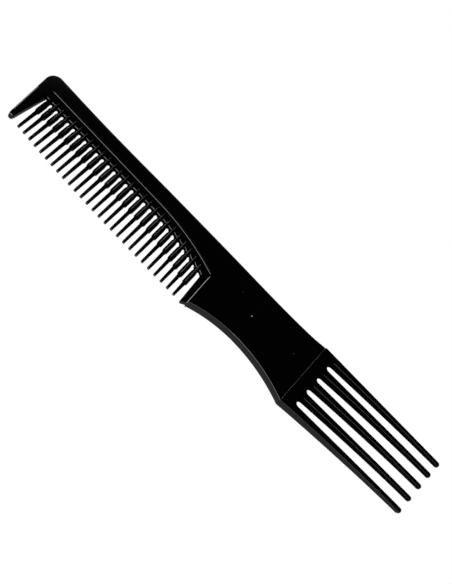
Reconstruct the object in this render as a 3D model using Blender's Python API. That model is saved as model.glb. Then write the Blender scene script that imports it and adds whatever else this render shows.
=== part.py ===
"""Back-combing comb with a five-prong lifting fork, in glossy black plastic.

The comb lies on its back face: X runs from its front end to the tips of the fork, the teeth point
to -Y and Z is its thickness. Lengths are in metres. The outlines are drawn from the front end
(x = 0), the line of the back edge (y = 0) and the middle of the thickness (z = 0), and an empty
moves them all so that the comb rests on z = 0 about the origin.

The comb is one moulding. Its features are separate solids that meet face to face on flat planes:
the spine with the thin band that carries the teeth, the guard tooth, the teeth, the heel tooth,
the handle, the bridge of the fork and the prongs.
"""
import math

import bmesh
import bpy
from mathutils import Matrix, Vector

MM = 0.001

# Whole comb
BODY_THICKNESS = 4.4 * MM
BAND_THICKNESS = 2.1 * MM
EDGE_RADIUS = 0.4 * MM
CUT_OVERRUN = 2.0 * MM
WELD_DISTANCE = 0.001 * MM

# Head: the spine from the front end to the heel line, where the handle starts
HEAD_LENGTH = 92.05 * MM
CORNER_RADIUS = 4.2 * MM
FRONT_RISE = 0.2 * MM
FRONT_LEAN_SHARE = 0.054
HEEL_LEAN_SHARE = 0.0946
GUARD_WIDTH = 5.55 * MM
GROOVE_SLANT = 0.45 * MM
GROOVE_DEPTH = 5.65 * MM
GROOVE_SLOPE_SHARE = 0.0125
GROOVE_BEND_LENGTH = 31.0 * MM
GROOVE_BEND_RADIUS = 97.0 * MM
GROOVE_CORNER = 1.0 * MM
ROOT_BAND = 2.8 * MM
ROOT_CHAMFER = 0.4 * MM

# Hollows of the back edge, as shares of the length and of its deepest hollow
BACK_HOLLOW = 0.4 * MM
SPINE_BACK_SHARES = ((0.22, -0.8), (0.42, -0.95), (0.63, -0.5), (0.81, -0.38))
HANDLE_BACK_SHARES = ((0.42, -0.8), (0.65, -0.65), (0.8, -0.15), (0.9, 0.5))
FORK_SHOULDER_RISE = 0.8 * MM

# Teeth, as many as fit between the guard tooth and the heel tooth; each slot is wider than the last
FIRST_SLOT = 0.675 * MM
SLOT_WIDTH = 1.012 * MM
SLOT_GROWTH = 0.0107 * MM
LAST_SLOT_LEAST = 0.92 * MM
TOOTH_REACH = 28.4 * MM
FRONT_TOOTH_RISE = 3.1 * MM
FIRST_TOOTH_LEAN = math.radians(-0.8)
LAST_TOOTH_LEAN = math.radians(4.0)
TOOTH_WIDTH = 1.95 * MM
NECK_WIDTH = 1.6 * MM
NECK_LENGTH = 1.8 * MM
NECK_FLARE = 0.5 * MM
SHOULDER_DROP = 8.0 * MM
SHOULDER_LENGTH = 0.6 * MM
SHAFT_WIDTH = 1.2 * MM
TIP_WIDTH = 0.75 * MM
TIP_ROUND = 0.45 * MM
RIB_RISE = 0.2 * MM
RIB_LENGTH = 1.8 * MM
SHAFT_THICKNESS = 1.9 * MM
TIP_THICKNESS = 1.2 * MM
FLANK_SHARE = 0.5
ROOT_RIDGE = BAND_THICKNESS / 2 + RIB_RISE

# Guard tooth at the front end and heel tooth beside the handle
GUARD_REACH = 25.42 * MM
GUARD_TIP_WIDTH = 2.3 * MM
GUARD_TIP_THICKNESS = 2.9 * MM
GUARD_TIP_ROUND = 1.35 * MM
GUARD_TIP_SLOPE = 2.3 * MM
HEEL_TOOTH_WIDTH = 3.15 * MM
HEEL_TOOTH_TIP_WIDTH = 2.8 * MM
HEEL_TOOTH_CHAMFER = 0.35 * MM

# Handle, with its hollow on the side of the teeth
HANDLE_LENGTH = 48.0 * MM
GRIP_DEPTH = 22.8 * MM
GRIP_FROM_HEEL = 23.35 * MM
GRIP_FRONT_RADIUS = 58.5 * MM
GRIP_REAR_RADIUS = 67.5 * MM
END_STEP = 0.1 * MM
END_SLOPE = 0.35 * MM

# Fork
PRONG_COUNT = 5
FORK_LEAN_SHARE = 0.0686
TIP_LEAN_SHARE = 0.057
BRIDGE_LENGTH = 5.0 * MM
PRONG_LENGTH = 53.75 * MM
PRONG_ROOT_WIDTH = 2.6 * MM
PRONG_TIP_WIDTH = 1.4 * MM
LAST_PRONG_EXTRA = 0.5 * MM
PRONG_ROOT_PITCH = 6.42 * MM
FIRST_PRONG_ROOT = 0.1 * MM
FIRST_PRONG_TIP = 1.12 * MM
PRONG_TIP_SPAN = 24.65 * MM
PRONG_TIP_SHARES = (0.0, 0.229, 0.479, 0.743, 1.0)
PRONG_BEND_POWER = 1.4
PRONG_TIP_THICKNESS = 2.3 * MM
PRONG_OUTER_CORNER = 0.45 * MM
PRONG_SLOT_CORNER = 0.85 * MM
PRONG_ROOT_FILLET = 1.5 * MM
PRONG_TIP_ROUND = 0.9 * MM

# Fineness of the curves, and the most of a side that its corners may round away
CORNER_STEPS = 6
BACK_STEPS = 3
GROOVE_STEPS = 10
GRIP_STEPS = 16
EDGE_STEPS = 2
PRONG_STEPS = 7
END_STEPS = 4
END_TURN = math.radians(78.0)
FILLET_STEPS = 4
ROUNDED_SHARE = 0.9
MEET_ROUNDS = 12

BLACK = (0.006, 0.006, 0.007, 1.0)
GLOSS_ROUGHNESS = 0.16

OBJECT_NAME = "lift_comb"


def start_scene():
    """Empty the scene and make one collection for the comb and one for its cutters."""
    for thing in list(bpy.data.objects):
        bpy.data.objects.remove(thing, do_unlink=True)
    collections = []
    for name in (OBJECT_NAME, "cutters"):
        collection = bpy.data.collections.new(name)
        bpy.context.scene.collection.children.link(collection)
        collections.append(collection)
    return collections


def plastic(part_name):
    """Glossy black plastic for one part."""
    material = bpy.data.materials.new(part_name + "_plastic")
    material.use_nodes = True
    shader = material.node_tree.nodes["Principled BSDF"]
    shader.inputs["Base Color"].default_value = BLACK
    shader.inputs["Roughness"].default_value = GLOSS_ROUGHNESS
    shader.inputs["Metallic"].default_value = 0.0
    return material


def add_part(name, bm, collection):
    """Turn a bmesh into a named part with its own material."""
    bmesh.ops.recalc_face_normals(bm, faces=bm.faces)
    mesh = bpy.data.meshes.new(name)
    bm.to_mesh(mesh)
    bm.free()
    mesh.materials.append(plastic(name))
    part = bpy.data.objects.new(name, mesh)
    collection.objects.link(part)
    return part


def add_cutter(name, bm, collection):
    """Turn a bmesh into a hidden cutter."""
    cutter = add_part(name, bm, collection)
    cutter.display_type = "WIRE"
    cutter.hide_render = True
    return cutter


def cut_away(part, cutter):
    """Take a cutter's shape out of a part."""
    cut = part.modifiers.new(cutter.name, "BOOLEAN")
    cut.operation = "DIFFERENCE"
    cut.solver = "EXACT"
    cut.object = cutter


def flat_solid(outline, low, high):
    """Solid between two heights from a closed outline, through a filled flat curve."""
    curve = bpy.data.curves.new("outline", "CURVE")
    curve.dimensions = "2D"
    curve.fill_mode = "BOTH"
    curve.extrude = (high - low) / 2
    spline = curve.splines.new("POLY")
    spline.points.add(len(outline) - 1)
    for point, (x, y) in zip(spline.points, outline):
        point.co = (x, y, 0.0, 1.0)
    spline.use_cyclic_u = True
    drawn = bpy.data.objects.new("outline", curve)
    bpy.context.scene.collection.objects.link(drawn)
    bpy.context.view_layer.update()
    mesh = bpy.data.meshes.new_from_object(drawn.evaluated_get(bpy.context.evaluated_depsgraph_get()))
    bm = bmesh.new()
    bm.from_mesh(mesh)
    bpy.data.meshes.remove(mesh)
    bpy.data.objects.remove(drawn, do_unlink=True)
    bpy.data.curves.remove(curve)
    bmesh.ops.remove_doubles(bm, verts=bm.verts, dist=WELD_DISTANCE)
    inner = [edge for edge in bm.edges if all(abs(face.normal.z) > 0.5 for face in edge.link_faces)]
    bmesh.ops.dissolve_edges(bm, edges=inner, use_verts=False)
    bmesh.ops.translate(bm, verts=bm.verts, vec=(0.0, 0.0, (high + low) / 2))
    bmesh.ops.recalc_face_normals(bm, faces=bm.faces)
    return bm


def soften(bm, runs, size, steps):
    """Round the upper and lower edges that follow the given runs of an outline."""
    middles = [(Vector(a) + Vector(b)) / 2 for run in runs for a, b in zip(run, run[1:])]
    chosen = []
    for edge in bm.edges:
        start, end = (vertex.co for vertex in edge.verts)
        if abs(start.z - end.z) > WELD_DISTANCE:
            continue
        middle = ((start + end) / 2).xy
        if any((middle - other).length < WELD_DISTANCE for other in middles):
            chosen.append(edge)
    bmesh.ops.bevel(bm, geom=chosen, offset=size, segments=steps, profile=0.5, affect="EDGES",
                    offset_type="OFFSET", clamp_overlap=True)


def curve_through(points, steps):
    """Smooth curve through points, with the same number of steps in each span."""
    ends = [points[0]] + list(points) + [points[-1]]
    result = []
    for k in range(1, len(ends) - 2):
        before, start, end, after = (Vector(point) for point in ends[k - 1:k + 3])
        for step in range(steps):
            t = step / steps
            bend = 2 * start + (end - before) * t
            bend = bend + (2 * before - 5 * start + 4 * end - after) * t ** 2
            bend = bend + (3 * start - before - 3 * end + after) * t ** 3
            result.append(tuple(bend / 2))
    result.append(tuple(points[-1]))
    return result


def arc_drop(run, radius):
    """How far a circle has fallen from its crest after a run along the tangent."""
    return radius - math.sqrt(radius ** 2 - run ** 2)


def front_end_x(y):
    """Front end of the comb, which leans in towards the tip of the guard tooth."""
    return FRONT_LEAN_SHARE * max(0.0, -y - CORNER_RADIUS)


def heel_x(y):
    """Plane where the handle starts."""
    return HEAD_LENGTH - HEEL_LEAN_SHARE * y


def groove_y(x):
    """Step between the thick spine and the thin band: straight, then falling along an arc."""
    bend = max(0.0, x - (HEAD_LENGTH - GROOVE_BEND_LENGTH))
    return -(GROOVE_DEPTH + GROOVE_SLOPE_SHARE * x + arc_drop(bend, GROOVE_BEND_RADIUS))


def root_y(x):
    """Line of the tooth roots, which runs beside the groove."""
    return groove_y(x) - ROOT_BAND


def guard_join_y():
    """Plane where the guard tooth meets the spine."""
    return root_y(GUARD_WIDTH)


def heel_join_y():
    """Plane where the heel tooth meets the band."""
    return root_y(heel_x(root_y(HEAD_LENGTH)) - HEEL_TOOTH_WIDTH)


def heel_tooth_x():
    """Side of the heel tooth at its root, towards the other teeth."""
    return heel_x(heel_join_y()) - HEEL_TOOTH_WIDTH


def tooth_places():
    """Middles of the tooth roots, one after another until the heel tooth is reached."""
    places = []
    x = GUARD_WIDTH + FIRST_SLOT + TOOTH_WIDTH / 2
    slot = SLOT_WIDTH
    while x + TOOTH_WIDTH / 2 + LAST_SLOT_LEAST < heel_tooth_x():
        places.append(x)
        x += TOOTH_WIDTH + slot
        slot += SLOT_GROWTH
    return places


def handle_end_x(y):
    """Plane where the fork starts."""
    return HEAD_LENGTH + HANDLE_LENGTH - FORK_LEAN_SHARE * y


def fork_x(share, y):
    """Place along the prongs, from the slot ends at share 0 to the tips at share 1."""
    lean = FORK_LEAN_SHARE + (TIP_LEAN_SHARE - FORK_LEAN_SHARE) * share
    return HEAD_LENGTH + HANDLE_LENGTH + BRIDGE_LENGTH + share * PRONG_LENGTH - lean * y


def grip_y(x):
    """Lower edge of the handle: two arcs that meet at the top of its hollow."""
    run = x - (HEAD_LENGTH + GRIP_FROM_HEEL)
    return -GRIP_DEPTH - arc_drop(run, GRIP_FRONT_RADIUS if run < 0.0 else GRIP_REAR_RADIUS)


def meet(plane_x, edge_y):
    """Point where a leaning plane x(y) crosses an edge y(x)."""
    y = edge_y(plane_x(0.0))
    for _ in range(MEET_ROUNDS):
        y = edge_y(plane_x(y))
    return plane_x(y), y


def spine_back_edge():
    """Rounded front corner and the back edge of the spine, up to the handle."""
    corner = []
    for step in range(CORNER_STEPS + 1):
        turn = math.pi / 2 * step / CORNER_STEPS
        corner.append((CORNER_RADIUS * (1 - math.cos(turn)),
                       CORNER_RADIUS * (math.sin(turn) - 1) + FRONT_RISE))
    start_x, start_y = corner[-1]
    end_y = BACK_HOLLOW * SPINE_BACK_SHARES[-1][1]
    end = (heel_x(end_y), end_y)
    run = end[0] - start_x
    middle = [(start_x + run * along, BACK_HOLLOW * rise) for along, rise in SPINE_BACK_SHARES]
    return corner[:-1] + curve_through([(start_x, start_y)] + middle + [end], BACK_STEPS)


def handle_back_edge():
    """Back edge of the handle, from the spine to the shoulder of the fork."""
    start = spine_back_edge()[-1]
    end = (handle_end_x(FORK_SHOULDER_RISE), FORK_SHOULDER_RISE)
    run = end[0] - start[0]
    middle = [(start[0] + run * along, BACK_HOLLOW * rise) for along, rise in HANDLE_BACK_SHARES]
    return curve_through([start] + middle + [end], BACK_STEPS)


def grip_edge():
    """Lower edge of the handle, from the fork back to the heel."""
    start_x, _ = meet(handle_end_x, grip_y)
    end_x, _ = meet(heel_x, grip_y)
    points = []
    for step in range(GRIP_STEPS + 1):
        x = start_x + (end_x - start_x) * step / GRIP_STEPS
        points.append((x, grip_y(x)))
    return points


def root_seats():
    """Lower edge of the band: a flat seat for each tooth, joined by the ends of the slots."""
    return [((x - NECK_WIDTH / 2, root_y(x)), (x + NECK_WIDTH / 2, root_y(x))) for x in tooth_places()]


def slot_ends():
    """Left and right corner of each slot's end, between the guard tooth, the teeth and the heel tooth."""
    rights = [(GUARD_WIDTH, guard_join_y())] + [right for _, right in root_seats()]
    lefts = [left for left, _ in root_seats()] + [(heel_tooth_x(), heel_join_y())]
    return list(zip(rights, lefts))


def groove_line():
    """Points along the groove, from the guard tooth to its corner at the heel."""
    start_x = GUARD_WIDTH - GROOVE_SLANT
    bend_x = HEAD_LENGTH - GROOVE_BEND_LENGTH
    end_x = heel_x(groove_y(HEAD_LENGTH)) - GROOVE_CORNER
    bend = [bend_x + (end_x - bend_x) * step / GROOVE_STEPS for step in range(GROOVE_STEPS + 1)]
    return [(x, groove_y(x)) for x in [start_x] + bend]


def make_spine(parts, cutters):
    """Spine and band: the thick back of the head, recessed on both faces to a thin band."""
    join = guard_join_y()
    back = [(front_end_x(join), join)] + spine_back_edge()
    heel_seat = [(heel_x(heel_join_y()), heel_join_y()), (heel_tooth_x(), heel_join_y())]
    seats = [point for left, right in reversed(root_seats()) for point in (right, left)]
    outline = back + heel_seat + seats + [(GUARD_WIDTH, join)]
    bm = flat_solid(outline, -BODY_THICKNESS / 2, BODY_THICKNESS / 2)
    soften(bm, [back], EDGE_RADIUS, EDGE_STEPS)
    spine = add_part("spine", bm, parts)

    below = heel_join_y() - CUT_OVERRUN
    corner = (heel_x(heel_join_y()), heel_join_y())
    recess = groove_line() + [corner, (heel_x(below), below), (GUARD_WIDTH, below), (GUARD_WIDTH, join)]
    top = BODY_THICKNESS / 2 + CUT_OVERRUN
    band = BAND_THICKNESS / 2
    for name, low, high in (("front_recess", band, top), ("back_recess", -top, -band)):
        cut_away(spine, add_cutter(name, flat_solid(recess, low, high), cutters))

    bm = bmesh.new()
    for left, right in slot_ends():
        run = Vector(right) - Vector(left)
        middle = (Vector(left) + Vector(right)) / 2
        for face in (-1, 1):
            place = Matrix.Translation((middle.x, middle.y, face * BAND_THICKNESS / 2))
            turn = Matrix.Rotation(math.atan2(run.y, run.x), 4, "Z") @ Matrix.Rotation(math.pi / 4, 4, "X")
            side = ROOT_CHAMFER * math.sqrt(2)
            size = Matrix.Diagonal((run.length, side, side, 1.0))
            bmesh.ops.create_cube(bm, size=1.0, matrix=place @ turn @ size)
    cut_away(spine, add_cutter("root_chamfers", bm, cutters))
    return spine


def loft(rings):
    """Skin through rings of the same number of points, flat at its far end and open at its start."""
    bm = bmesh.new()
    loops = [[bm.verts.new(point) for point in ring] for ring in rings]
    for first, second in zip(loops, loops[1:]):
        for k in range(len(first)):
            after = (k + 1) % len(first)
            bm.faces.new((first[k], first[after], second[after], second[k]))
    bm.faces.new(loops[-1])
    return bm, loops[0]


def ridged_ring(x, y, width, thickness):
    """Section of a tooth: a ridge on each face between two sloping flanks."""
    ridge = thickness / 2
    flank = ridge * FLANK_SHARE
    half = width / 2
    near = half * RIB_RISE / (ROOT_RIDGE - ROOT_RIDGE * FLANK_SHARE)
    low = ridge - (ridge - flank) * near / half
    return [(x - half, y, -flank), (x - half, y, flank), (x - near, y, low), (x, y, ridge),
            (x + near, y, low), (x + half, y, flank), (x + half, y, -flank), (x + near, y, -low),
            (x, y, -ridge), (x - near, y, -low)]


def tooth_tip_y(x):
    """Line of the tooth tips, which rises towards the front end."""
    left = max(0.0, 1 - x / HEAD_LENGTH)
    return -TOOTH_REACH + FRONT_TOOTH_RISE * left ** 3


def rounded_end(length, radius):
    """How far along, and how full, the rings of a rounded end are."""
    turns = [END_TURN * step / END_STEPS for step in range(END_STEPS + 1)]
    reach = radius / math.sin(END_TURN)
    return [(length - radius + reach * math.sin(turn), math.cos(turn)) for turn in turns]


def make_tooth(name, x, lean, parts):
    """Long tooth: narrow neck, wide ridged part, small shoulders, then a fine tapered shaft.

    The ends of its two ridges are points that lap onto the faces of the band above the root.
    """
    y = root_y(x)
    ridged = 2 * ROOT_RIDGE
    stations = [(0.0, NECK_WIDTH, ridged), (NECK_LENGTH, NECK_WIDTH, ridged),
                (NECK_LENGTH + NECK_FLARE, TOOTH_WIDTH, ridged), (SHOULDER_DROP, TOOTH_WIDTH, ridged),
                (SHOULDER_DROP + SHOULDER_LENGTH, SHAFT_WIDTH, SHAFT_THICKNESS)]
    for down, size in rounded_end(y - tooth_tip_y(x), TIP_ROUND):
        stations.append((down, TIP_WIDTH * size, TIP_THICKNESS * size))
    rings = [ridged_ring(x + math.tan(lean) * down, y - down, width, thickness)
             for down, width, thickness in stations]
    bm, root = loft(rings)
    bm.faces.new([corner for k, corner in enumerate(root) if k not in (3, 8)])
    for left, ridge, right in (root[2:5], root[7:10]):
        point = bm.verts.new((x, y + RIB_LENGTH, left.co.z))
        for corners in ((left, ridge, point), (ridge, right, point), (right, left, point)):
            bm.faces.new(corners)
    return add_part(name, bm, parts)


def make_teeth(parts):
    """All the teeth. They lean more and more towards the handle."""
    places = tooth_places()
    teeth = []
    for index, x in enumerate(places):
        share = index / max(1, len(places) - 1)
        lean = FIRST_TOOTH_LEAN + (LAST_TOOTH_LEAN - FIRST_TOOTH_LEAN) * share
        teeth.append(make_tooth("tooth_%02d" % (index + 1), x, lean, parts))
    return teeth


def rounded_ring(low, high, thickness, low_corner, high_corner):
    """Section between two sides, with a corner radius at each; points are (across, up)."""
    most = min(high - low, thickness) / 2 * ROUNDED_SHARE
    corners = ((low, -1, 1, low_corner), (high, 1, 1, high_corner),
               (high, 1, -1, high_corner), (low, -1, -1, low_corner))
    ring = []
    for number, (side, out, up, size) in enumerate(corners):
        radius = min(size, most)
        steps = range(EDGE_STEPS + 1) if number % 2 == 0 else reversed(range(EDGE_STEPS + 1))
        for step in steps:
            turn = math.pi / 2 * step / EDGE_STEPS
            ring.append((side - out * radius * (1 - math.cos(turn)),
                         up * (thickness / 2 - radius * (1 - math.sin(turn)))))
    return ring


def make_guard_tooth(parts):
    """Stout tooth at the front end, as thick as the spine, thinned and rounded at its tip."""
    top = guard_join_y()
    length = GUARD_REACH + top
    stations = [(0.0, 1.0, BODY_THICKNESS), (length - GUARD_TIP_SLOPE, 1.0, BODY_THICKNESS)]
    for down, size in rounded_end(length, GUARD_TIP_ROUND):
        stations.append((down, size, GUARD_TIP_THICKNESS * size))
    rings = []
    for down, size, thickness in stations:
        y = top - down
        share = down / length
        width = (GUARD_WIDTH - front_end_x(top)) * (1 - share) + GUARD_TIP_WIDTH * share
        inset = width * (1 - size) / 2
        low = front_end_x(y) + inset
        ring = rounded_ring(low, low + width * size, thickness, EDGE_RADIUS, EDGE_RADIUS)
        rings.append([(across, y, up) for across, up in ring])
    bm, root = loft(rings)
    bm.faces.new(root)
    return add_part("guard_tooth", bm, parts)


def make_heel_tooth(parts):
    """Thin broad tooth between the last slot and the handle."""
    top = heel_join_y()
    low_right = meet(heel_x, grip_y)
    tip_x = heel_x(-TOOTH_REACH) - HEEL_TOOTH_TIP_WIDTH
    slot_side = [(tip_x + HEEL_TOOTH_CHAMFER, -TOOTH_REACH), (tip_x, -TOOTH_REACH + HEEL_TOOTH_CHAMFER),
                 (heel_tooth_x(), top)]
    outline = [low_right] + slot_side + [(heel_x(top), top)]
    bm = flat_solid(outline, -BAND_THICKNESS / 2, BAND_THICKNESS / 2)
    soften(bm, [slot_side], HEEL_TOOTH_CHAMFER, 1)
    return add_part("heel_tooth", bm, parts)


def make_handle(parts):
    """Handle with a hollow lower edge; its end slopes down to the bridge of the fork."""
    back = handle_back_edge()
    grip = grip_edge()
    bm = flat_solid(back + grip, -BODY_THICKNESS / 2, BODY_THICKNESS / 2)
    soften(bm, [back, grip], EDGE_RADIUS, EDGE_STEPS)
    end = Vector((handle_end_x(0.0), 0.0, 0.0))
    facing = Vector((1.0, FORK_LEAN_SHARE, 0.0)).normalized()
    bmesh.ops.bisect_plane(bm, geom=bm.verts[:] + bm.edges[:] + bm.faces[:],
                           plane_co=end - facing * END_SLOPE, plane_no=facing)
    for vertex in bm.verts:
        if (vertex.co - end).dot(facing) > -WELD_DISTANCE:
            vertex.co.z *= 1 - END_STEP / (BODY_THICKNESS / 2)
    return add_part("handle", bm, parts)


def make_bridge(parts):
    """Bridge of the fork, which joins the five prongs to the handle."""
    shoulder = handle_back_edge()[-1]
    low_corner = grip_edge()[0]
    top_y = prong_middle(0, 0.0) + PRONG_ROOT_WIDTH / 2
    low_y = prong_middle(PRONG_COUNT - 1, 0.0) - PRONG_ROOT_WIDTH / 2 - LAST_PRONG_EXTRA
    top_run = [shoulder, (handle_end_x(top_y) + EDGE_RADIUS, top_y), (fork_x(0.0, top_y), top_y)]
    low_run = [(fork_x(0.0, low_y), low_y), low_corner]
    thickness = BODY_THICKNESS - 2 * END_STEP
    bm = flat_solid(top_run + low_run, -thickness / 2, thickness / 2)
    soften(bm, [top_run, low_run], EDGE_RADIUS, EDGE_STEPS)
    return add_part("fork_bridge", bm, parts)


def prong_middle(index, share):
    """Middle line of a prong: the prongs run closer together towards their tips."""
    root = -FIRST_PRONG_ROOT - index * PRONG_ROOT_PITCH
    tip = FIRST_PRONG_TIP - PRONG_TIP_SPAN * PRONG_TIP_SHARES[index]
    return root + (tip - root) * (1 - (1 - share) ** PRONG_BEND_POWER)


def prong_width(share):
    """Width of a prong: it narrows quickly at the root and slowly at the tip."""
    return PRONG_TIP_WIDTH + (PRONG_ROOT_WIDTH - PRONG_TIP_WIDTH) * (1 - share) ** 2


def make_prong(index, parts):
    """Prong with a filleted root, tapering in width and thickness to a round tip.

    The last prong is wider than the others, towards its outer side.
    """
    first, last = index == 0, index == PRONG_COUNT - 1
    root_thickness = BODY_THICKNESS - 2 * END_STEP
    fillet = min(PRONG_ROOT_FILLET, (PRONG_ROOT_PITCH - PRONG_ROOT_WIDTH) / 2 * ROUNDED_SHARE)
    turns = [math.pi / 2 * step / FILLET_STEPS for step in range(FILLET_STEPS + 1)]
    stations = [(fillet * (1 - math.cos(turn)), 1.0, fillet * (1 - math.sin(turn))) for turn in turns]
    run = PRONG_LENGTH - PRONG_TIP_ROUND - fillet
    stations += [(fillet + run * step / PRONG_STEPS, 1.0, 0.0) for step in range(1, PRONG_STEPS)]
    stations += [(along, size, 0.0) for along, size in rounded_end(PRONG_LENGTH, PRONG_TIP_ROUND)]
    rings = []
    for along, size, flare in stations:
        share = along / PRONG_LENGTH
        middle = prong_middle(index, share)
        thickness = (root_thickness + (PRONG_TIP_THICKNESS - root_thickness) * share) * size
        extra = LAST_PRONG_EXTRA * (1 - share / 2) if last else flare
        low = middle - prong_width(share) * size / 2 - extra * size
        high = middle + prong_width(share) * size / 2 + (0.0 if first else flare)
        low_corner = PRONG_OUTER_CORNER if last else PRONG_SLOT_CORNER
        high_corner = PRONG_OUTER_CORNER if first else PRONG_SLOT_CORNER
        ring = rounded_ring(low, high, thickness, low_corner, high_corner)
        rings.append([(fork_x(share, y), y, up) for y, up in ring])
    bm, root = loft(rings)
    bm.faces.new(root)
    return add_part("prong_%d" % (index + 1), bm, parts)


def rest_on_origin(parts):
    """Move the whole comb so that it rests on z = 0 with its middle over the origin."""
    corners = [vertex.co for part in parts for vertex in part.data.vertices]
    low = [min(corner[axis] for corner in corners) for axis in range(3)]
    high = [max(corner[axis] for corner in corners) for axis in range(3)]
    frame = bpy.data.objects.new("comb_frame", None)
    bpy.context.scene.collection.objects.link(frame)
    frame.location = (-(low[0] + high[0]) / 2, -(low[1] + high[1]) / 2, -low[2])
    return frame


def main():
    parts, cutters = start_scene()
    comb = [make_spine(parts, cutters), make_guard_tooth(parts)] + make_teeth(parts)
    comb += [make_heel_tooth(parts), make_handle(parts), make_bridge(parts)]
    comb += [make_prong(index, parts) for index in range(PRONG_COUNT)]
    frame = rest_on_origin(comb)
    for thing in comb + list(cutters.objects):
        thing.parent = frame
    bpy.context.view_layer.update()


main()
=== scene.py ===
"""Dressed model of a back-combing comb with a five-prong lifting fork, in glossy black plastic.

The comb is one moulding, drawn here as named pieces that meet on the flat planes of the CAD solids.
Shapes are drawn from the front end (x = 0), the back edge (y = 0) and the middle of the thickness
(z = 0), and each piece is then moved to the place of its CAD solid.
"""

import math

import bmesh
import bpy
from bpy.props import FloatProperty, IntProperty, FloatVectorProperty, PointerProperty
from mathutils import Matrix, Vector


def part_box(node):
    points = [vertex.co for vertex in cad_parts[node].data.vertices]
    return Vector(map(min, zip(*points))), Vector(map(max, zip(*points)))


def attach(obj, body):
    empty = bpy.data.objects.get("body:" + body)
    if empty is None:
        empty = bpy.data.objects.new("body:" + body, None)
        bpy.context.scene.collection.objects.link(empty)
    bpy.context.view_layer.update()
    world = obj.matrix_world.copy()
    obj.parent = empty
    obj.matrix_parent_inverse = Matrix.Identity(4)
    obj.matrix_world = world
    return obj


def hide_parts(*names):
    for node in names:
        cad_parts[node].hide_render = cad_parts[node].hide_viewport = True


bl_info = {
    "name": "Lift comb",
    "version": (1, 0, 0),
    "blender": (4, 5, 0),
    "location": "View3D > Sidebar > Comb",
    "description": "Builds a back-combing comb with a lifting fork, piece by piece",
    "category": "Add Mesh",
}

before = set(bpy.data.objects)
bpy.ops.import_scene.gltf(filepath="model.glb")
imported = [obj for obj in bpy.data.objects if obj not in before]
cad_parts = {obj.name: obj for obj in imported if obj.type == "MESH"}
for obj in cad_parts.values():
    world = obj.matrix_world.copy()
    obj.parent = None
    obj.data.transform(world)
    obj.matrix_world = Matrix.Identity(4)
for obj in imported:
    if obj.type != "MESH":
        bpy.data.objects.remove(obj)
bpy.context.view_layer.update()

MM = 0.001
WELD = 0.001 * MM
NEAR = WELD * 5


def length(label, use, value):
    """Property for a length that is given in millimetres."""
    return FloatProperty(name=label, description=use, default=value * MM, unit="LENGTH", precision=5)


def share(label, use, value):
    """Property for a share or a slope."""
    return FloatProperty(name=label, description=use, default=value)


def angle(label, use, degrees):
    """Property for an angle that is given in degrees."""
    return FloatProperty(name=label, description=use, default=math.radians(degrees), subtype="ANGLE")


class CombHead(bpy.types.PropertyGroup):
    thickness: length("Thickness", "Thickness of the spine and the handle", 4.4)
    band: length("Band", "Thickness of the recessed band and the heel tooth", 2.1)
    head_length: length("Head length", "From the front end to the heel line", 92.05)
    corner: length("Corner", "Radius of the front corner", 4.2)
    front_rise: length("Front rise", "Rise of the front corner above the line of the back edge", 0.2)
    front_lean: share("Front lean", "Slope of the front end", 0.054)
    heel_lean: share("Heel lean", "Slope of the heel line", 0.0946)
    guard_width: length("Guard width", "Width of the guard tooth at its root", 5.55)
    groove_slant: length("Groove slant", "How far the recess cuts into the guard tooth", 0.45)
    groove_depth: length("Groove depth", "From the back edge to the groove at the front", 5.43)
    groove_slope: share("Groove slope", "Fall of the straight part of the groove", 0.0125)
    bend_length: length("Bend length", "Length of the curved part of the groove", 31.0)
    bend_radius: length("Bend radius", "Radius of the curved part of the groove", 97.0)
    groove_corner: length("Groove corner", "Radius of the recess at the heel", 1.3)
    root_band: length("Root band", "From the groove to the tooth roots", 3.52)
    root_chamfer: length("Root chamfer", "Chamfer along the tooth roots", 0.1)
    foot: length("Foot", "Slope at the foot of the recess wall", 0.1)
    heel_foot: length("Heel foot", "Rise of the slope at the foot of the heel's wall", 0.148)
    crisp: length("Crisp edge", "Rounding of the recess's upper edge", 0.1)
    lip: length("Heel lip", "Edge of the handle that shows beside the heel tooth", 0.25)
    rim_width: length("Rim width", "Width of the gentle slope along the back edge", 0.9)
    rim_drop: length("Rim drop", "Fall of that slope", 0.07)
    rim_radius: length("Rim radius", "Rounding of the outer edges", 0.35)
    back_hollow: length("Back hollow", "Deepest hollow of the back edge", 0.4)


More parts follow.
